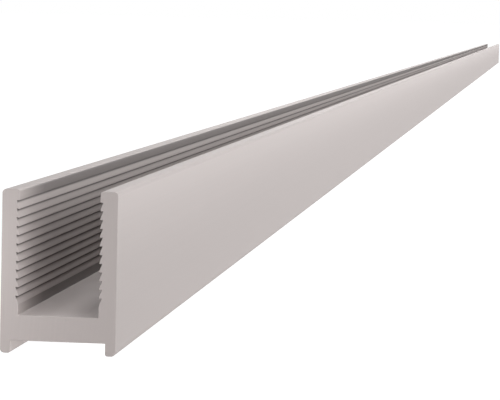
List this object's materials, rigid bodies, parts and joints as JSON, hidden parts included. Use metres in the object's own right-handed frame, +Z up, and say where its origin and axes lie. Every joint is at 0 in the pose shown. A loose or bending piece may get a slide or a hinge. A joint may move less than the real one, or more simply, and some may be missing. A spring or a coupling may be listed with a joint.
{
  "type": "u channel",
  "caption": "Straight aluminium U channel with barbed inner walls and two shallow feet, which holds the edge of a glass pane with a rubber gasket.",
  "frame": {"origin": "centre of the underside, midway along the bar and between the feet, on the surface that the feet stand on", "axes": "+X across the channel, from one wall to the other; +Y along the bar; +Z up, out of the channel's open side"},
  "size_m": [0.0286, 5, 0.04],
  "materials": {
    "metal": "satin natural anodised"
  },
  "bodies": {
    "root": {"u_channel": "metal"}
  },
  "joints": []
}
